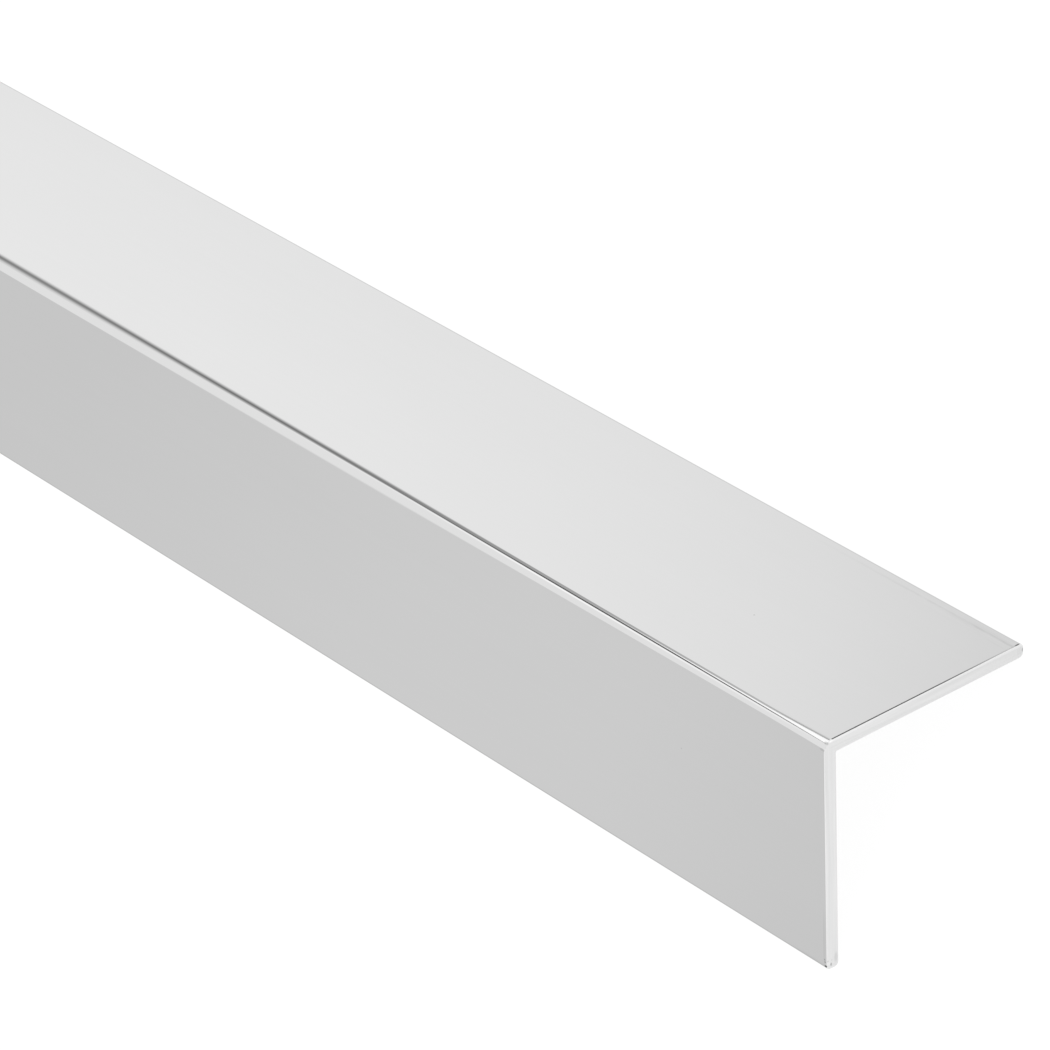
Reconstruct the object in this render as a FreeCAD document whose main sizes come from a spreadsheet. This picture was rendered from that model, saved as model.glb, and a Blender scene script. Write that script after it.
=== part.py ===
"""Equal-leg angle section in bare bright aluminium, sawn square to stock length.

The section is drawn as it is used, one leg flat on top and the other hanging
down in front, with the outer corner at the sketch's origin. The whole bar is
then laid down as a loose bar comes to rest: corner up, on its two leg tips.
Millimetres throughout, X along the bar.
"""

import FreeCAD
import Part
import Sketcher

import math
import os

OUT_FOLDER = "parts"

# Driving dimensions in millimetres: name, size, meaning
DIMENSIONS = (
    ("leg", "25", "outer width of each leg, from the corner to the tip"),
    ("wall", "1.5", "thickness of both legs"),
    ("bar_length", "1000", "length of the stock bar"),
    ("corner_round", "1.2", "radius of the outer corner"),
    ("root_round", "0.1", "radius of the inner corner"),
    ("tip_round", "0.5", "radius of the two edges of each leg tip"),
    ("cut_break", "0.08", "width of the broken edge round each saw cut"),
)

# Both rounds of a tip have to fit on its wall
TIP_RADIUS = "min(Dims.tip_round; Dims.wall * 0.48)"

# Height of the sharp outer corner over the floor when both tips rest on it
CORNER_HEIGHT = f"(Dims.leg + Dims.wall - 2 * {TIP_RADIUS}) / sqrt(2) + {TIP_RADIUS}"

# Each leg slopes this much when the corner points straight up
LEG_SLOPE_DEG = 45

# Points closer than this, in mm, are the same point
SAME_POINT = 1e-4


def make_sheet(doc):
    """Spreadsheet with one row for each driving dimension."""
    sheet = doc.addObject("Spreadsheet::Sheet", "Dims")
    for row, (name, size, meaning) in enumerate(DIMENSIONS, start=1):
        sheet.set(f"A{row}", name)
        sheet.set(f"B{row}", size)
        sheet.setAlias(f"B{row}", name)
        sheet.set(f"C{row}", meaning)
    doc.recompute()
    return sheet


def draw_section(body, leg, wall):
    """Sharp-cornered L on the body's YZ plane, outer corner at the origin."""
    plane = next(f for f in body.Origin.OriginFeatures if f.Role == "YZ_Plane")
    sketch = body.newObject("Sketcher::SketchObject", "Section")
    sketch.AttachmentSupport = [(plane, "")]
    sketch.MapMode = "FlatFace"

    corners = [
        (0, 0),
        (leg, 0),
        (leg, -wall),
        (wall, -wall),
        (wall, -leg),
        (0, -leg),
    ]
    points = [FreeCAD.Vector(y, z, 0) for y, z in corners]
    sides = [
        Part.LineSegment(start, end)
        for start, end in zip(points, points[1:] + points[:1])
    ]
    sketch.addGeometry(sides, False)

    # The end of each side (2) is the start (1) of the following one
    for side in range(len(sides)):
        following = (side + 1) % len(sides)
        sketch.addConstraint(Sketcher.Constraint("Coincident", side, 2, following, 1))
        direction = "Horizontal" if side % 2 == 0 else "Vertical"
        sketch.addConstraint(Sketcher.Constraint(direction, side))

    # The first side starts at the sketch's own origin (-1, 1)
    sketch.addConstraint(Sketcher.Constraint("Coincident", 0, 1, -1, 1))

    top_face, top_tip, front_tip, front_face = 0, 1, 4, 5
    bindings = [
        (top_face, leg, "leg"),
        (front_face, leg, "leg"),
        (top_tip, wall, "wall"),
        (front_tip, wall, "wall"),
    ]
    for side, size, name in bindings:
        index = sketch.addConstraint(Sketcher.Constraint("Distance", side, size))
        sketch.setExpression(f"Constraints[{index}]", f"Dims.{name}")
    return sketch


def extrude_bar(body, section):
    """The section drawn out to the bar's length, half to each side."""
    pad = body.newObject("PartDesign::Pad", "Bar")
    pad.Profile = section
    pad.SideType = "Symmetric"
    pad.setExpression("Length", "Dims.bar_length")
    return pad


def long_edges(shape, places):
    """Names of the edges along the bar at those places (Y, Z) of the section."""
    names = []
    for number, edge in enumerate(shape.Edges, start=1):
        first = edge.Vertexes[0].Point
        last = edge.Vertexes[-1].Point
        if math.hypot(last.y - first.y, last.z - first.z) > SAME_POINT:
            continue
        if any(math.hypot(first.y - y, first.z - z) < SAME_POINT for y, z in places):
            names.append(f"Edge{number}")
    if len(names) != len(places):
        raise RuntimeError(f"{len(places)} long edges wanted, {len(names)} found")
    return names


def round_edges(body, name, places, radius):
    """Fillet of the long edges at those places, on the body's last feature."""
    base = body.Tip
    fillet = body.newObject("PartDesign::Fillet", name)
    fillet.Base = (base, long_edges(base.Shape, places))
    fillet.setExpression("Radius", radius)
    return fillet


def break_cut_edges(body, half_length):
    """Small chamfer round both saw cuts, where the burr was taken off."""
    base = body.Tip
    names = [
        f"Edge{number}"
        for number, edge in enumerate(base.Shape.Edges, start=1)
        if abs(abs(edge.CenterOfMass.x) - half_length) < SAME_POINT
    ]
    chamfer = body.newObject("PartDesign::Chamfer", "CutBreak")
    chamfer.Base = (base, names)
    chamfer.setExpression("Size", "Dims.cut_break")
    return chamfer


def lay_down(body):
    """Turns the outer corner up and puts both leg tips on the plane Z = 0."""
    corner_up = FreeCAD.Rotation(FreeCAD.Vector(1, 0, 0), -LEG_SLOPE_DEG)
    body.Placement = FreeCAD.Placement(FreeCAD.Vector(0, 0, 0), corner_up)
    body.setExpression("Placement.Base.z", CORNER_HEIGHT)


def make_angle_bar(doc, sheet):
    """The whole bar: section, length, rounds, saw cuts and resting place."""
    leg = float(sheet.leg)
    wall = float(sheet.wall)
    bar_length = float(sheet.bar_length)

    body = doc.addObject("PartDesign::Body", "AngleBar")
    body.Label = "angle_bar"
    section = draw_section(body, leg, wall)
    extrude_bar(body, section)
    doc.recompute()

    outer_corner = [(0, 0)]
    inner_corner = [(wall, -wall)]
    tip_corners = [(leg, 0), (leg, -wall), (0, -leg), (wall, -leg)]
    round_edges(body, "CornerRound", outer_corner, "Dims.corner_round")
    doc.recompute()
    round_edges(body, "RootRound", inner_corner, "Dims.root_round")
    doc.recompute()
    round_edges(body, "TipRound", tip_corners, TIP_RADIUS)
    doc.recompute()
    break_cut_edges(body, bar_length / 2)
    lay_down(body)
    doc.recompute()
    return body


def check(doc, bodies):
    """Stops the script if a feature failed or a body isn't one closed solid."""
    for item in doc.Objects:
        if "Invalid" in item.State or "Error" in item.State:
            raise RuntimeError(f"{item.Name} failed: {item.State}")
    for body in bodies:
        shape = body.Shape
        if shape.isNull() or not shape.isValid() or len(shape.Solids) != 1:
            raise RuntimeError(f"{body.Label} is not one valid solid")


def main():
    doc = FreeCAD.newDocument("AngleSection")
    sheet = make_sheet(doc)
    bodies = [make_angle_bar(doc, sheet)]
    check(doc, bodies)

    os.makedirs(OUT_FOLDER, exist_ok=True)
    for body in bodies:
        body.Shape.exportStep(os.path.join(OUT_FOLDER, body.Label + ".step"))
        box = body.Shape.BoundBox
        print(
            f"{body.Label}: {box.XLength:.3f} x {box.YLength:.3f} x {box.ZLength:.3f} mm,"
            f" lowest point {box.ZMin:.4f}, volume {body.Shape.Volume:.1f} mm3"
        )


main()
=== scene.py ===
"""Bright aluminium angle section, lying corner up on a pale studio floor.

Metres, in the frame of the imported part: X along the bar with the near saw cut
at +X, the floor at Z = 0. The bar's cross-section is drawn as it is used, one
leg flat on top and one hanging in front, and turned corner up at the end.
"""

import math

import bmesh
import bpy
from mathutils import Matrix, Vector


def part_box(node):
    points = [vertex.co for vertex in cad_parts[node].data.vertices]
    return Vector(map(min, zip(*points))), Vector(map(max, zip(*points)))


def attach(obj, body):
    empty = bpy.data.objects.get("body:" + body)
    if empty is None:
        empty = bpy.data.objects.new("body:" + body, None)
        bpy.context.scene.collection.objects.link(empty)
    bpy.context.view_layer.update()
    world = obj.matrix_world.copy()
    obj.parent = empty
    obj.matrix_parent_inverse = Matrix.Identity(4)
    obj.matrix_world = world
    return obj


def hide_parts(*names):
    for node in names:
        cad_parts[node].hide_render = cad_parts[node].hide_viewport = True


bl_info = {
    "name": "Angle Section",
    "version": (1, 0, 0),
    "blender": (4, 5, 0),
    "location": "View3D > Sidebar > Angle",
    "description": "Builds a bright aluminium angle section and a small studio round it",
    "category": "Add Mesh",
}

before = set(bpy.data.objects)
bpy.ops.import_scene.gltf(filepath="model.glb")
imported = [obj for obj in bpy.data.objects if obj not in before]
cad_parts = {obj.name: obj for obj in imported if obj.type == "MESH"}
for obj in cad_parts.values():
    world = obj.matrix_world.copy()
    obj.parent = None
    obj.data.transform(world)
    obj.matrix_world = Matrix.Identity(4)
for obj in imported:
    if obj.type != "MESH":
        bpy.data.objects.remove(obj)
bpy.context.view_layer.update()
NODE = "angle_bar"
NODE_LOW, NODE_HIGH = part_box(NODE)

MM = 0.001
LEG_SLOPE = math.radians(45)

# Burrs, specks and rubbed spots, and two painted highlights on the corner: centre, reach
# and how much each darkens the metal, or brightens it where that is negative. Places are
# mm along -X from the near cut, along the top leg, and down the front leg as -Z.
POLISHED_MARKS = {
    "speck on the top face": ((-20.7, 10.2, 0), (0.13, 0.13, 0.13), 0.22),
    "speck on the front face": ((-19.75, 0, -9.85), (0.13, 0.13, 0.13), 0.13),
    "burr at the top leg's tip": ((-0.1, 24.3, 0), (0.12, 0.45, 0.12), 0.75),
    "burr at the front leg's tip": ((-0.12, 0.05, -24.53), (0.22, 0.2, 0.16), 0.97),
    "nick over that burr": ((-0.25, 0, -23.85), (0.13, 0.1, 0.15), 0.35),
    "second nick": ((-0.2, 0, -24.1), (0.14, 0.1, 0.15), 0.4),
    "dull edge of the front leg's cut": ((-0.3, 0, -22.0), (0.2, 0.1, 5.0), 0.06),
    "dull spot where the corner meets the front": ((-0.3, 0.07, -0.82), (0.45, 0.2, 0.16), 0.15),
    "burr on the corner": ((-0.2, 0.48, -0.24), (0.34, 0.2, 0.17), 0.3),
    # Painted highlight: lifts the metal's colour above its own to paint a bright glint on the
    # round corner at the cut
    "painted highlight on the corner": ((-0.08, 0.78, -0.08), (0.16, 0.4, 0.2), -0.36),
    "dull foot of the front face": ((-2.2, 0, -24.5), (3.4, 0.15, 0.2), 0.05),
}
SAWN_MARKS = {
    "pit at the front leg's tip": ((0, 0.56, -24.5), (0.2, 0.15, 0.26), 0.45),
    "rubbed spot beside it": ((0, 0.33, -24.35), (0.2, 0.16, 0.3), -0.06),
    "speck over the pit": ((0, 0.64, -24.05), (0.2, 0.12, 0.14), 0.13),
    "speck at the leg's outer side": ((0, 0.18, -24.0), (0.2, 0.12, 0.14), 0.22),
    "smear at the leg's inner side": ((0, 1.16, -23.95), (0.2, 0.3, 0.75), 0.12),
    "dent at the top leg's tip": ((0, 24.88, -0.72), (0.2, 0.1, 0.32), 0.5),
    "scratch at that tip": ((0, 24.32, -0.75), (0.2, 0.07, 0.6), 0.08),
    "second scratch": ((0, 24.58, -0.75), (0.2, 0.07, 0.55), 0.1),
    # Painted highlight: a bright glint painted on the sawn end at the outer corner
    "painted highlight at the cut's corner": ((0, 0.85, -0.14), (0.2, 0.45, 0.16), -0.14),
    "dull spot under it": ((0, 0.5, -0.3), (0.2, 0.16, 0.14), 0.16),
}

# Wear beside the top leg's back edge, by place across that leg and along the bar
RUB_LINE = 23.75 * MM
WORN_FROM = 22.9 * MM

# Degrees back that the corner mirrors at the near cut and 8, 40, 64 and 120 mm along the bar
BAR_STOPS = (38.4, 39.0, 41.5, 43.3, 47.0)

# Brightness of the studio's parts where the metal mirrors them; 1 is white
FRONT_WALL = 0.657
FRONT_WALL_MIDDLE = 0.045
FRONT_WALL_FOOT = 0.56
FRONT_WALL_PAST_CUT = 1.08
BACK_WALL = 0.94
BACK_WALL_FOOT = 0.66
BACK_WALL_PAST_CUT = 1.1
CANOPY = 0.873
LAMP = 1.16
PALE_FLOOR = 0.955
FAR_FLOOR = 0.72
FLAG = 0.13


# Sizes, finish and studio settings


class AngleBarSizes(bpy.types.PropertyGroup):
    """Sizes of the bar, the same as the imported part's"""

    leg: bpy.props.FloatProperty(
        name="Leg", description="Outer width of each leg",
        default=25 * MM, min=5 * MM, unit="LENGTH", precision=5,
    )
    wall: bpy.props.FloatProperty(
        name="Wall", description="Thickness of both legs",
        default=1.5 * MM, min=0.5 * MM, unit="LENGTH", precision=5,
    )
    length: bpy.props.FloatProperty(
        name="Length", description="Length of the bar",
        default=NODE_HIGH.x - NODE_LOW.x, min=10 * MM, unit="LENGTH", precision=5,
    )
    corner_round: bpy.props.FloatProperty(
        name="Corner round", description="Radius of the outer corner",
        default=1.2 * MM, min=0.1 * MM, unit="LENGTH", precision=5,
    )
    root_round: bpy.props.FloatProperty(
        name="Root round", description="Radius of the inner corner",
        default=0.1 * MM, min=0.05 * MM, unit="LENGTH", precision=5,
    )
    tip_round: bpy.props.FloatProperty(
        name="Tip round", description="Radius of both edges of each leg tip",
        default=0.5 * MM, min=0.05 * MM, unit="LENGTH", precision=5,
    )
    cut_break: bpy.props.FloatProperty(
        name="Cut break", description="How far each saw cut's edge stands in from the faces",
        default=0.05 * MM, min=0.03 * MM, unit="LENGTH", precision=5,
    )
    lip_length: bpy.props.FloatProperty(
        name="Lip length", description="Length of the edge that the saw rolled over a little",
        default=0.13 * MM, min=0.01 * MM, unit="LENGTH", precision=5,
    )
    lip_drop: bpy.props.FloatProperty(
        name="Lip drop", description="How far the rolled edge falls from the faces",
        default=0.025 * MM, min=0.001 * MM, unit="LENGTH", precision=5,
    )


class AngleBarFinish(bpy.types.PropertyGroup):
    """Colours and wear of the metal"""

    metal: bpy.props.FloatVectorProperty(
        name="Metal", description="Colour of the polished metal",
        default=(0.85, 0.85, 0.85), size=3, min=0, max=1, subtype="COLOR",
    )
    sawn_metal: bpy.props.FloatVectorProperty(
        name="Sawn metal", description="Colour of the sawn ends",
        default=(0.85, 0.85, 0.85), size=3, min=0, max=1, subtype="COLOR",
    )
    polish_roughness: bpy.props.FloatProperty(
        name="Polish roughness", description="Roughness of the polished faces",
        default=0.03, min=0, max=1, subtype="FACTOR",
    )
    sawn_roughness: bpy.props.FloatProperty(
        name="Sawn roughness", description="Roughness of the sawn ends",
        default=0.34, min=0, max=1, subtype="FACTOR",
    )
    pit_spacing: bpy.props.FloatProperty(
        name="Pit spacing", description="Usual distance from one tiny pit to the next",
        default=45 * MM, min=1 * MM, unit="LENGTH", precision=5,
    )


class AngleBarStudio(bpy.types.PropertyGroup):
    """Floor, light and camera"""

    floor_size: bpy.props.FloatProperty(
        name="Floor size", description="Width of the square floor",
        default=60.0, min=5, unit="LENGTH",
    )
    lamp_power: bpy.props.FloatProperty(
        name="Lamp power", description="Power of the large soft lamp overhead",
        default=12.0, min=0, unit="POWER",
    )
    camera_place: bpy.props.FloatVectorProperty(
        name="Camera place", description="Where the photograph was taken from",
        default=(0.8336354, -0.0067828, 0.4386738), size=3, subtype="TRANSLATION",
    )
    camera_turn: bpy.props.FloatVectorProperty(
        name="Camera turn", description="Which way the camera looks and rolls",
        default=(0.4470275, 0.6024674, 0.6747387), size=3, subtype="EULER",
    )
    camera_lens: bpy.props.FloatProperty(
        name="Camera lens", description="Focal length in mm on a 36 mm wide sensor",
        default=203.746, min=10,
    )


# Node helpers


def link_or_set(tree, socket, value):
    """Feeds a socket from another node's socket, or sets it to a plain value."""
    if isinstance(value, bpy.types.NodeSocket):
        tree.links.new(value, socket)
    else:
        socket.default_value = value


def math_node(tree, operation, first, second=None, third=None):
    node = tree.nodes.new("ShaderNodeMath")
    node.operation = operation
    for socket, value in zip(node.inputs, (first, second, third)):
        if value is not None:
            link_or_set(tree, socket, value)
    return node.outputs["Value"]


def mix_values(tree, factor, low, high):
    node = tree.nodes.new("ShaderNodeMix")
    node.data_type = "FLOAT"
    link_or_set(tree, node.inputs["Factor"], factor)
    link_or_set(tree, node.inputs["A"], low)
    link_or_set(tree, node.inputs["B"], high)
    return node.outputs["Result"]


def map_range(tree, value, low, high, to_low=0.0, to_high=1.0, smooth=False):
    node = tree.nodes.new("ShaderNodeMapRange")
    node.interpolation_type = "SMOOTHSTEP" if smooth else "LINEAR"
    for name, given in (
        ("Value", value), ("From Min", low), ("From Max", high),
        ("To Min", to_low), ("To Max", to_high),
    ):
        link_or_set(tree, node.inputs[name], given)
    return node.outputs["Result"]


def soft_edge(tree, value, edge, width):
    """0 below the edge, 1 above it, with a smooth step of that width between."""
    low = math_node(tree, "MULTIPLY_ADD", width, -0.5, edge)
    high = math_node(tree, "MULTIPLY_ADD", width, 0.5, edge)
    return map_range(tree, value, low, high, smooth=True)


def product(tree, *values):
    result = values[0]
    for value in values[1:]:
        result = math_node(tree, "MULTIPLY", result, value)
    return result


def below(tree, mask):
    return math_node(tree, "SUBTRACT", 1.0, mask)


def band(tree, value, low, low_width, high, high_width):
    """1 between two soft edges, 0 outside them."""
    return product(
        tree, soft_edge(tree, value, low, low_width),
        below(tree, soft_edge(tree, value, high, high_width)),
    )


def vector_node(tree, operation, first, second):
    node = tree.nodes.new("ShaderNodeVectorMath")
    node.operation = operation
    link_or_set(tree, node.inputs[0], first)
    link_or_set(tree, node.inputs[1], second)
    return node.outputs["Vector"]


def new_group(name, inputs, outputs):
    """Shader node group with value sockets (name, default) and vector ones (name, None)."""
    group = bpy.data.node_groups.new(name, "ShaderNodeTree")
    for side, wanted in (("INPUT", inputs), ("OUTPUT", outputs)):
        for socket_name, default in wanted:
            kind = "NodeSocketVector" if default is None else "NodeSocketFloat"
            socket = group.interface.new_socket(socket_name, in_out=side, socket_type=kind)
            if default is not None:
                socket.default_value = default
    entry = group.nodes.new("NodeGroupInput")
    leave = group.nodes.new("NodeGroupOutput")
    return group, entry.outputs, leave.inputs


def place_group(tree, group, **values):
    node = tree.nodes.new("ShaderNodeGroup")
    node.node_tree = group
    for name, value in values.items():
        link_or_set(tree, node.inputs[name.replace("_", " ").capitalize()], value)
    return node.outputs


def noise(tree, vector, scale, detail=2.0):
    node = tree.nodes.new("ShaderNodeTexNoise")
    node.noise_dimensions = "3D"
    tree.links.new(vector, node.inputs["Vector"])
    node.inputs["Scale"].default_value = scale
    node.inputs["Detail"].default_value = detail
    return node.outputs["Fac"]


def stretched(tree, vector, scale):
    node = tree.nodes.new("ShaderNodeMapping")
    tree.links.new(vector, node.inputs["Vector"])
    node.inputs["Scale"].default_value = scale
    return node.outputs["Vector"]


def separate(tree, vector):
    """The sockets "X", "Y" and "Z" of a vector."""
    node = tree.nodes.new("ShaderNodeSeparateXYZ")
    tree.links.new(vector, node.inputs["Vector"])
    return node.outputs


# Surface effects shared by the two finishes


def section_place_group(sizes):
    """Place on the bar as it is used: -X from the near cut, Y along the top leg, Z up."""
    group, given, out = new_group("Section place", [("Place", None)], [("Place", None)])
    mapping = group.nodes.new("ShaderNodeMapping")
    mapping.vector_type = "TEXTURE"
    mapping.inputs["Location"].default_value = (sizes.length / 2, 0, corner_height(sizes))
    mapping.inputs["Rotation"].default_value = (-LEG_SLOPE, 0, 0)
    group.links.new(given["Place"], mapping.inputs["Vector"])
    group.links.new(mapping.outputs["Vector"], out["Place"])
    return group


def drawing_lines_group():
    """Faint lines along the bar from the die and the buffing wheel, 0 to 1."""
    group, given, out = new_group("Drawing lines", [("Place", None)], [("Lines", 0)])
    fine = noise(group, stretched(group, given["Place"], (14, 4200, 4200)), 1.0, 3.0)
    broad = noise(group, stretched(group, given["Place"], (5, 700, 700)), 1.0, 2.0)
    lines = math_node(group, "MULTIPLY_ADD", fine, 0.6, math_node(group, "MULTIPLY", broad, 0.4))
    group.links.new(lines, out["Lines"])
    return group


def pits_group():
    """Tiny dark pits scattered over the surface, 1 inside a pit."""
    group, given, out = new_group(
        "Pits",
        [("Place", None), ("Spacing", 0.009), ("Size", 0.00007), ("Share", 0.5)],
        [("Pits", 0)],
    )
    scale = math_node(group, "DIVIDE", 1.0, given["Spacing"])
    cells = group.nodes.new("ShaderNodeTexVoronoi")
    cells.voronoi_dimensions = "3D"
    cells.feature = "F1"
    group.links.new(given["Place"], cells.inputs["Vector"])
    group.links.new(scale, cells.inputs["Scale"])
    reach = math_node(group, "DIVIDE", cells.outputs["Distance"], scale)
    near = map_range(group, reach, 0.0, given["Size"], 1.0, 0.0, smooth=True)
    pick = group.nodes.new("ShaderNodeSeparateColor")
    group.links.new(cells.outputs["Color"], pick.inputs["Color"])
    chosen = math_node(group, "LESS_THAN", pick.outputs["Red"], given["Share"])
    group.links.new(math_node(group, "MULTIPLY", near, chosen), out["Pits"])
    return group


def clouds_group():
    """Soft wide patches left by buffing, centred on 0."""
    group, given, out = new_group("Buffing clouds", [("Place", None)], [("Clouds", 0)])
    soft = noise(group, stretched(group, given["Place"], (45, 110, 110)), 1.0, 2.0)
    group.links.new(math_node(group, "SUBTRACT", soft, 0.5), out["Clouds"])
    return group


def mark_group():
    """One small smudge: 1 at its centre, falling to 0 at its reach."""
    group, given, out = new_group(
        "Mark", [("Place", None), ("Centre", None), ("Reach", None)], [("Mark", 0)]
    )
    offset = vector_node(group, "SUBTRACT", given["Place"], given["Centre"])
    share = vector_node(group, "DIVIDE", offset, given["Reach"])
    length = group.nodes.new("ShaderNodeVectorMath")
    length.operation = "LENGTH"
    group.links.new(share, length.inputs[0])
    mark = map_range(group, length.outputs["Value"], 0.3, 1.0, 1.0, 0.0, smooth=True)
    group.links.new(mark, out["Mark"])
    return group


def new_material(name):
    material = bpy.data.materials.new(name)
    material.use_nodes = True
    tree = material.node_tree
    shader = tree.nodes["Principled BSDF"]
    shader.inputs["Metallic"].default_value = 1.0
    place = tree.nodes.new("ShaderNodeTexCoord").outputs["Object"]
    return material, tree, shader, place


def shade_colour(tree, colour, shade):
    """The colour made lighter or darker by a value round 1."""
    scaled = tree.nodes.new("ShaderNodeVectorMath")
    scaled.operation = "SCALE"
    scaled.inputs[0].default_value = tuple(colour)
    tree.links.new(shade, scaled.inputs["Scale"])
    return scaled.outputs["Vector"]


def add_bump(tree, shader, height, distance, strength):
    bump = tree.nodes.new("ShaderNodeBump")
    bump.inputs["Strength"].default_value = strength
    bump.inputs["Distance"].default_value = distance
    tree.links.new(height, bump.inputs["Height"])
    tree.links.new(bump.outputs["Normal"], shader.inputs["Normal"])


def add_marks(tree, groups, section, shade, marks):
    """Darkens the shade at each mark: (centre mm, reach mm, how much)."""
    for centre, reach, strength in marks.values():
        mark = place_group(
            tree, groups["mark"], place=section,
            centre=[value * MM for value in centre], reach=[value * MM for value in reach],
        )["Mark"]
        shade = math_node(tree, "MULTIPLY", shade, map_range(tree, mark, 0, 1, 1, 1 - strength))
    return shade


def wear_by_back_edge(tree, place, section, axes):
    """Change of shade from the rub line and worn streaks beside the top leg's back edge."""
    off_line = math_node(tree, "ABSOLUTE", math_node(tree, "ADD", axes["Y"], -RUB_LINE))
    broken = noise(tree, stretched(tree, place, (900, 2600, 2600)), 1.0, 1.0)
    rub = product(
        tree, map_range(tree, off_line, 0.05 * MM, 0.22 * MM, 1.0, 0.0, smooth=True),
        map_range(tree, axes["X"], -28 * MM, -2 * MM, 0.0, 0.085),
        soft_edge(tree, axes["Z"], -0.7 * MM, 0.2 * MM),
        map_range(tree, broken, 0.3, 0.7, 0.4, 1.6),
    )
    worn = noise(tree, stretched(tree, section, (120, 2200, 2200)), 1.0, 1.0)
    streaks = product(
        tree, map_range(tree, worn, 0.3, 0.7, -0.035, 0.035),
        soft_edge(tree, axes["Y"], WORN_FROM, 0.8 * MM),
        map_range(tree, axes["X"], -16 * MM, -2 * MM, 0.0, 1.0),
    )
    return math_node(tree, "SUBTRACT", streaks, rub)


def polished_metal(finish, groups):
    """Bright drawn faces: nearly a mirror, with faint lines, patches and a few pits."""
    material, tree, shader, place = new_material("Polished aluminium")
    section = place_group(tree, groups["section"], place=place)["Place"]
    lines = place_group(tree, groups["lines"], place=place)["Lines"]
    clouds = place_group(tree, groups["clouds"], place=place)["Clouds"]
    pits = place_group(
        tree, groups["pits"], place=place, spacing=finish.pit_spacing,
        size=0.1 * MM, share=0.55,
    )["Pits"]

    streaks = map_range(tree, lines, 0.3, 0.7, -0.004, 0.004)
    patches = math_node(tree, "MULTIPLY_ADD", clouds, 0.02, streaks)
    shade = math_node(tree, "ADD", patches, 1.0)
    shade = math_node(tree, "MULTIPLY_ADD", pits, -0.2, shade)
    wear = wear_by_back_edge(tree, place, section, separate(tree, section))
    shade = math_node(tree, "ADD", shade, wear)
    shade = add_marks(tree, groups, section, shade, POLISHED_MARKS)
    tree.links.new(shade_colour(tree, finish.metal, shade), shader.inputs["Base Color"])

    rough = math_node(tree, "MULTIPLY_ADD", clouds, 0.02, finish.polish_roughness)
    rougher = math_node(tree, "MULTIPLY_ADD", pits, 0.3, rough)
    tree.links.new(rougher, shader.inputs["Roughness"])
    height = math_node(tree, "SUBTRACT", lines, math_node(tree, "MULTIPLY", pits, 4.0))
    add_bump(tree, shader, height, distance=0.002 * MM, strength=0.1)
    return material


def sawn_metal(finish, groups):
    """Saw-cut ends: satin, with fine saw marks along each leg."""
    material, tree, shader, place = new_material("Sawn aluminium")
    section = place_group(tree, groups["section"], place=place)["Place"]
    clouds = place_group(tree, groups["clouds"], place=place)["Clouds"]
    pits = place_group(
        tree, groups["pits"], place=place, spacing=2.5 * MM, size=0.08 * MM, share=0.4,
    )["Pits"]
    axes = separate(tree, section)
    down_front = noise(tree, stretched(tree, section, (1, 3000, 90)), 1.0, 2.0)
    along_top = noise(tree, stretched(tree, section, (1, 90, 3000)), 1.0, 2.0)
    diagonal = math_node(tree, "ADD", axes["Y"], axes["Z"])
    on_top = soft_edge(tree, diagonal, 0.0, 0.4 * MM)
    saw = mix_values(tree, on_top, down_front, along_top)

    streaks = map_range(tree, saw, 0.3, 0.7, -0.04, 0.04)
    shade = math_node(tree, "ADD", math_node(tree, "MULTIPLY_ADD", clouds, 0.03, streaks), 1.0)
    shade = math_node(tree, "MULTIPLY_ADD", pits, -0.15, shade)
    worn = map_range(tree, axes["Y"], 0.5 * MM, 25 * MM, 0.98, 0.93)
    shade = math_node(tree, "MULTIPLY", shade, worn)
    # Painted highlight: a bright line along the top leg's upper edge, held in burr
    burr = product(
        tree, soft_edge(tree, axes["Z"], -0.26 * MM, 0.16 * MM),
        soft_edge(tree, axes["Y"], 0.9 * MM, 0.6 * MM),
    )
    shade = math_node(tree, "MULTIPLY_ADD", burr, 0.075, shade)
    shade = add_marks(tree, groups, section, shade, SAWN_MARKS)
    tree.links.new(shade_colour(tree, finish.sawn_metal, shade), shader.inputs["Base Color"])
    rough = math_node(tree, "MULTIPLY_ADD", saw, 0.08, finish.sawn_roughness)
    tree.links.new(rough, shader.inputs["Roughness"])
    add_bump(tree, shader, saw, distance=0.004 * MM, strength=0.35)
    return material


# The bar


def corner_height(sizes):
    """Height of the sharp outer corner when both rounded tips touch the floor."""
    return (sizes.leg + sizes.wall - 2 * sizes.tip_round) / math.sqrt(2) + sizes.tip_round


def run(edge):
    """Length of an edge that goes along the bar, 0 for any other edge."""
    first, last = (vert.co for vert in edge.verts)
    along = abs(first.x - last.x)
    across = math.hypot(first.y - last.y, first.z - last.z)
    return along if along > across * 1000 else 0


def edges_along(bm, places, tolerance=1e-7):
    """Edges parallel to X at those (Y, Z) places of the section."""
    found = []
    for edge in bm.edges:
        spot = edge.verts[0].co
        near = any(math.hypot(spot.y - y, spot.z - z) < tolerance for y, z in places)
        if near and run(edge) > 0:
            found.append(edge)
    if len(found) != len(places):
        raise RuntimeError(f"{len(places)} long edges wanted, {len(found)} found")
    return found


def round_edges(bm, places, radius, segments):
    bmesh.ops.bevel(
        bm, geom=edges_along(bm, places), offset=radius, offset_type="OFFSET",
        segments=segments, profile=0.5, affect="EDGES", clamp_overlap=False, material=-1,
    )


def end_faces(bm):
    """The two faces that look along the bar."""
    return [face for face in bm.faces if abs(face.normal.x) > 0.99]


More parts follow.
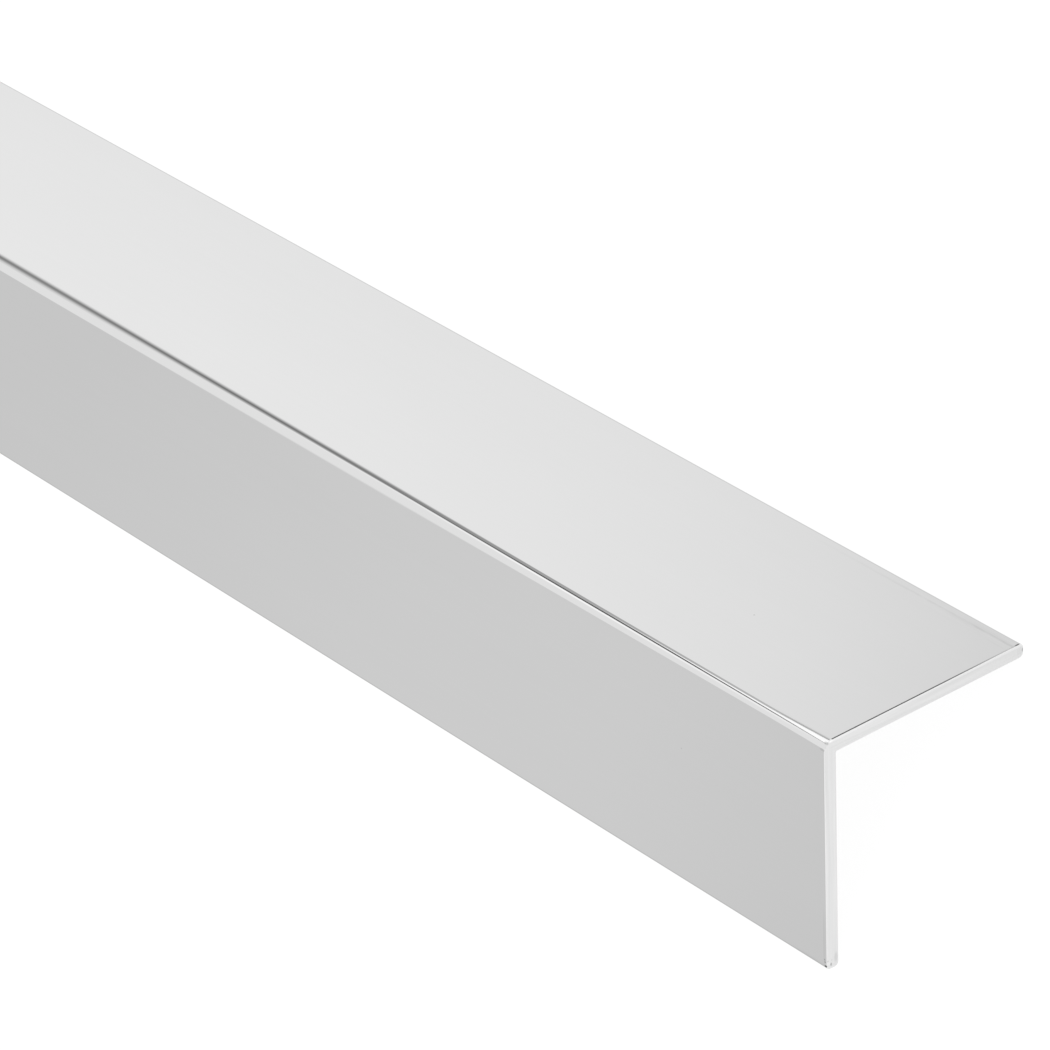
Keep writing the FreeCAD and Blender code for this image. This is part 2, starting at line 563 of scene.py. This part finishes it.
def build_bar_mesh(sizes):
    """Extrudes the section, rounds its edges, breaks the cut edges, turns it corner up."""
    leg, wall = sizes.leg, sizes.wall
    chamfer = sizes.cut_break - sizes.lip_drop
    straight = sizes.length / 2 - sizes.lip_length - chamfer
    bm = bmesh.new()
    corners = [(0, 0), (leg, 0), (leg, -wall), (wall, -wall), (wall, -leg), (0, -leg)]
    section = bm.faces.new([bm.verts.new((-straight, y, z)) for y, z in corners])
    drawn = bmesh.ops.extrude_face_region(bm, geom=[section])["geom"]
    moved = [item for item in drawn if isinstance(item, bmesh.types.BMVert)]
    bmesh.ops.translate(bm, verts=moved, vec=(2 * straight, 0, 0))

    round_edges(bm, [(0, 0)], sizes.corner_round, 40)
    round_edges(bm, [(wall, -wall)], sizes.root_round, 8)
    tips = [(leg, 0), (leg, -wall), (0, -leg), (wall, -leg)]
    round_edges(bm, tips, sizes.tip_round, 12)
    bmesh.ops.recalc_face_normals(bm, faces=bm.faces)

    long_edges = [edge for edge in bm.edges if run(edge) > straight]
    bmesh.ops.subdivide_edges(bm, edges=long_edges, cuts=19, use_grid_fill=True)
    for face in end_faces(bm):
        for inward, outward in ((sizes.lip_drop, sizes.lip_length), (chamfer, chamfer)):
            bmesh.ops.inset_region(
                bm, faces=[face], thickness=inward, depth=outward, use_even_offset=True
            )

    for face in bm.faces:
        face.smooth = True
    for face in end_faces(bm):
        face.material_index = 1
    # Rounded edges are shaded smooth, the rolled and broken cut edges crisp
    for edge in bm.edges:
        limit = 30 if run(edge) > 0 else 2
        edge.smooth = edge.calc_face_angle(0) < math.radians(limit)
    lay_down = Matrix.Translation((0, 0, corner_height(sizes))) @ Matrix.Rotation(
        -LEG_SLOPE, 4, "X"
    )
    bmesh.ops.transform(bm, matrix=lay_down, verts=bm.verts)
    mesh = bpy.data.meshes.new("polished_angle_bar")
    bm.to_mesh(mesh)
    bm.free()
    return mesh


class MESH_OT_angle_bar(bpy.types.Operator):
    """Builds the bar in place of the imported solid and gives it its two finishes"""

    bl_idname = "mesh.angle_bar"
    bl_label = "Angle bar"

    def execute(self, context):
        scene = context.scene
        mesh = build_bar_mesh(scene.angle_bar_sizes)
        groups = {
            "section": section_place_group(scene.angle_bar_sizes),
            "lines": drawing_lines_group(),
            "pits": pits_group(),
            "clouds": clouds_group(),
            "mark": mark_group(),
        }
        mesh.materials.append(polished_metal(scene.angle_bar_finish, groups))
        mesh.materials.append(sawn_metal(scene.angle_bar_finish, groups))
        bar = bpy.data.objects.new("polished_angle_bar", mesh)
        scene.collection.objects.link(bar)
        flat = bar.modifiers.new("Flat faces stay flat", "WEIGHTED_NORMAL")
        flat.mode = "FACE_AREA"
        flat.weight = 100
        flat.keep_sharp = True
        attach(bar, "root")
        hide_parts(NODE)
        return {"FINISHED"}


# The studio


def mirrored_angles(tree):
    """The direction that the metal mirrors, as two angles in degrees.

    rise is the angle over the horizon on the -Y side: 0 there, 90 overhead,
    180 on the +Y horizon. back is the angle away from the camera, towards -X.
    """
    toward = separate(tree, tree.nodes.new("ShaderNodeTexCoord").outputs["Generated"])
    minus_x = math_node(tree, "MULTIPLY", toward["X"], -1.0)
    minus_y = math_node(tree, "MULTIPLY", toward["Y"], -1.0)
    back = math_node(tree, "DEGREES", math_node(tree, "ARCSINE", minus_x))
    turn = math_node(tree, "DEGREES", math_node(tree, "ARCTAN2", toward["Z"], minus_y))
    rise = math_node(tree, "WRAP", turn, 270.0, -90.0)
    return rise, back


def along_bar(tree, back, *values):
    """One value for what is mirrored at each of the BAR_STOPS, and between them."""
    result = values[0]
    for stop in range(len(BAR_STOPS) - 1):
        change = map_range(
            tree, back, BAR_STOPS[stop], BAR_STOPS[stop + 1],
            0.0, values[stop + 1] - values[stop],
        )
        result = math_node(tree, "ADD", result, change)
    return result


def past_cut(tree, back):
    """1 where the walls stand past the near cut; they are dim again farther off."""
    return band(tree, back, -60.0, 16.0, 0.0, 20.0)


def front_wall(tree, rise, back):
    """Grey wall on the -Y side, a little brighter in the middle: the front face."""
    middle = band(tree, back, 38.75, 4.0, 44.7, 6.0)
    tone = math_node(tree, "MULTIPLY_ADD", middle, FRONT_WALL_MIDDLE, FRONT_WALL)
    foot = band(tree, rise, -46.0, 14.0, -8.0, 8.0)
    tone = mix_values(tree, foot, tone, FRONT_WALL_FOOT)
    return mix_values(tree, past_cut(tree, back), tone, FRONT_WALL_PAST_CUT)


def back_wall(tree, rise, back):
    """Paler wall on the +Y side, dimmer towards the cut: the top face."""
    dimmer = math_node(tree, "EXPONENT", map_range(tree, back, 37.5, 66.5, 0.0, -10.0))
    tone = math_node(tree, "MULTIPLY_ADD", dimmer, -0.155, BACK_WALL)
    tone = math_node(tree, "MULTIPLY", tone, map_range(tree, rise, 181.0, 183.2, 1.0, 0.968))
    foot = band(tree, rise, 190.0, 10.0, 212.0, 16.0)
    tone = mix_values(tree, foot, tone, BACK_WALL_FOOT)
    return mix_values(tree, past_cut(tree, back), tone, BACK_WALL_PAST_CUT)


def gap_reach(tree, back):
    """1 along the stretch that the gap takes up, which the bar's first 130 mm mirror."""
    return band(tree, back, 36.4, 2.4, 51.0, 4.0)


def gap_start(tree, back):
    """Rise at which the canopy ends and the gap behind it starts."""
    return along_bar(tree, back, 100.0, 102.1, 107.7, 114.8, 110.1)


def add_canopy(tree, rise, back, tone):
    """White canopy over the bar, brightest at its rim: the light band along the corner."""
    start = along_bar(tree, back, 47.6, 51.7, 37.9, 20.8, 6.0)
    softness = along_bar(tree, back, 2.5, 2.0, 2.0, 30.0, 9.6)
    tone = mix_values(tree, soft_edge(tree, rise, start, softness), tone, CANOPY)
    rim_start = math_node(tree, "SUBTRACT", gap_start(tree, back), 14.0)
    brighter = along_bar(tree, back, -0.02, 0.12, 0.25, 0.07, 0.14)
    return math_node(
        tree, "MULTIPLY_ADD", soft_edge(tree, rise, rim_start, 8.0), brighter, tone
    )


def add_gap(tree, rise, back, tone):
    """Dim gap between canopy and wall, darkest beside the canopy: the two fine lines."""
    start = gap_start(tree, back)
    softness = along_bar(tree, back, 2.0, 2.0, 2.0, 16.7, 60.0)
    opening = product(
        tree, gap_reach(tree, back), soft_edge(tree, rise, start, softness)
    )
    shade_end = soft_edge(
        tree, rise, along_bar(tree, back, 150.0, 140.2, 142.7, 147.1, 144.6),
        along_bar(tree, back, 40.9, 5.0, 5.0, 31.6, 63.8),
    )
    shade = product(tree, opening, below(tree, shade_end))
    tone = mix_values(tree, shade, tone, along_bar(tree, back, 0.12, 0.53, 0.417, 0.266, 0.0))
    deep_end = math_node(tree, "ADD", start, along_bar(tree, back, 4.7, 13.8, 11.2, 5.5, 1.0))
    deep = product(tree, opening, below(tree, soft_edge(tree, rise, deep_end, softness)))
    return mix_values(tree, deep, tone, along_bar(tree, back, 0.12, 0.12, 0.12, 0.12, 0.441))


def add_mirrored_lamp(tree, rise, back, tone):
    """Lamp in the gap, mirrored only beside the cut: the white wedge."""
    across = band(
        tree, rise, along_bar(tree, back, 101.6, 109.3, 126.0, 126.0, 126.0), 4.0,
        along_bar(tree, back, 142.5, 122.7, 122.4, 122.4, 122.4), 4.0,
    )
    lamp = product(tree, gap_reach(tree, back), across)
    return mix_values(tree, lamp, tone, LAMP)


def add_mirrored_floor(tree, rise, back, tone):
    """Pale floor, also round the far side of both horizons, dimmer far along the bar."""
    far = soft_edge(tree, math_node(tree, "ABSOLUTE", back), 62.0, 20.0)
    floor = mix_values(tree, far, PALE_FLOOR, FAR_FLOOR)
    down = math_node(
        tree, "MAXIMUM", below(tree, soft_edge(tree, rise, -46.0, 14.0)),
        soft_edge(tree, rise, 222.0, 24.0),
    )
    return mix_values(tree, down, tone, floor)


def add_flag(tree, rise, back, tone):
    """Black flag at the foot of the +Y wall: the dark line along the cut's upper edge."""
    flag = product(
        tree, band(tree, back, 8.0, 6.0, 31.0, 5.0), band(tree, rise, 160.0, 8.0, 174.2, 1.2)
    )
    return mix_values(tree, flag, tone, FLAG)


def studio_reflections(tree):
    """What the metal mirrors, as a brightness for each direction."""
    rise, back = mirrored_angles(tree)
    tone = add_canopy(tree, rise, back, front_wall(tree, rise, back))
    behind = soft_edge(tree, rise, 135.0, 10.0)
    tone = mix_values(tree, behind, tone, back_wall(tree, rise, back))
    for add_part in (add_gap, add_mirrored_lamp, add_mirrored_floor, add_flag):
        tone = add_part(tree, rise, back, tone)
    return tone


def set_up_world(scene):
    """White to the camera, the studio to the metal, plain soft light to the floor."""
    world = bpy.data.worlds.new("Studio")
    scene.world = world
    world.use_nodes = True
    tree = world.node_tree
    background = tree.nodes["Background"]
    ray = tree.nodes.new("ShaderNodeLightPath").outputs
    mirrored = math_node(tree, "MAXIMUM", ray["Is Glossy Ray"], ray["Is Transmission Ray"])
    tone = mix_values(tree, mirrored, 1.0, studio_reflections(tree))
    tree.links.new(tone, background.inputs["Color"])
    background.inputs["Strength"].default_value = 1.0
    world.cycles.sampling_method = "NONE"


def add_floor(scene, size):
    """Pale floor: white to the camera apart from the bar's own faint shadow."""
    mesh = bpy.data.meshes.new("floor")
    bm = bmesh.new()
    bmesh.ops.create_grid(bm, x_segments=1, y_segments=1, size=size / 2)
    bmesh.ops.translate(bm, verts=bm.verts, vec=(0, 0, -0.02 * MM))
    bm.to_mesh(mesh)
    bm.free()
    floor = bpy.data.objects.new("floor", mesh)
    scene.collection.objects.link(floor)
    # The world stands for the floor where the metal mirrors it
    floor.visible_glossy = False

    material = bpy.data.materials.new("Pale floor")
    material.use_nodes = True
    tree = material.node_tree
    tree.nodes.remove(tree.nodes["Principled BSDF"])
    seen = tree.nodes.new("ShaderNodeLightPath").outputs["Is Camera Ray"]
    paint = tree.nodes.new("ShaderNodeBsdfDiffuse")
    tree.links.new(mix_values(tree, seen, 0.8, 0.12), paint.inputs["Color"])
    glow = tree.nodes.new("ShaderNodeEmission")
    tree.links.new(math_node(tree, "MULTIPLY", seen, 0.92), glow.inputs["Strength"])
    both = tree.nodes.new("ShaderNodeAddShader")
    tree.links.new(paint.outputs["BSDF"], both.inputs[0])
    tree.links.new(glow.outputs["Emission"], both.inputs[1])
    tree.links.new(both.outputs["Shader"], tree.nodes["Material Output"].inputs["Surface"])
    mesh.materials.append(material)


def add_lamp(scene, power):
    """Large soft lamp overhead, which the metal doesn't mirror."""
    data = bpy.data.lights.new("soft_lamp", "AREA")
    data.shape = "SQUARE"
    data.size = 2.0
    data.energy = power
    lamp = bpy.data.objects.new("soft_lamp", data)
    lamp.location = (0.3, -0.6, 2.2)
    lamp.rotation_euler = Vector((0.0, 0.0, 1.0)).rotation_difference(
        lamp.location
    ).to_euler()
    lamp.visible_glossy = False
    lamp.visible_camera = False
    scene.collection.objects.link(lamp)


def add_camera(scene, studio):
    data = bpy.data.cameras.new("photo_camera")
    data.sensor_width = 36.0
    data.lens = studio.camera_lens
    data.clip_start = 0.01
    data.clip_end = 200.0
    camera = bpy.data.objects.new("photo_camera", data)
    camera.location = studio.camera_place
    camera.rotation_euler = studio.camera_turn
    scene.collection.objects.link(camera)
    scene.camera = camera


class SCENE_OT_angle_studio(bpy.types.Operator):
    """Builds the floor, the light and the camera"""

    bl_idname = "scene.angle_studio"
    bl_label = "Studio"

    def execute(self, context):
        scene = context.scene
        studio = scene.angle_bar_studio
        scene.view_settings.view_transform = "Standard"
        set_up_world(scene)
        add_floor(scene, studio.floor_size)
        add_lamp(scene, studio.lamp_power)
        add_camera(scene, studio)
        return {"FINISHED"}


# Panel and registration


class VIEW3D_PT_angle_section(bpy.types.Panel):
    """Lists the sizes and the two build steps"""

    bl_label = "Angle section"
    bl_space_type = "VIEW_3D"
    bl_region_type = "UI"
    bl_category = "Angle"

    def draw(self, context):
        scene = context.scene
        layout = self.layout
        for settings in (
            scene.angle_bar_sizes, scene.angle_bar_finish, scene.angle_bar_studio,
        ):
            box = layout.box()
            for name in settings.__annotations__:
                box.prop(settings, name)
        for operator in OPERATORS:
            layout.operator(operator.bl_idname)


OPERATORS = (SCENE_OT_angle_studio, MESH_OT_angle_bar)
SETTINGS = {
    "angle_bar_sizes": AngleBarSizes,
    "angle_bar_finish": AngleBarFinish,
    "angle_bar_studio": AngleBarStudio,
}
CLASSES = (*SETTINGS.values(), *OPERATORS, VIEW3D_PT_angle_section)


def register():
    for item in CLASSES:
        bpy.utils.register_class(item)
    for name, kind in SETTINGS.items():
        setattr(bpy.types.Scene, name, bpy.props.PointerProperty(type=kind))


def unregister():
    for name in SETTINGS:
        delattr(bpy.types.Scene, name)
    for item in reversed(CLASSES):
        bpy.utils.unregister_class(item)


def main():
    register()
    bpy.ops.scene.angle_studio()
    bpy.ops.mesh.angle_bar()
    bpy.context.view_layer.update()


if __name__ == "__main__":
    main()
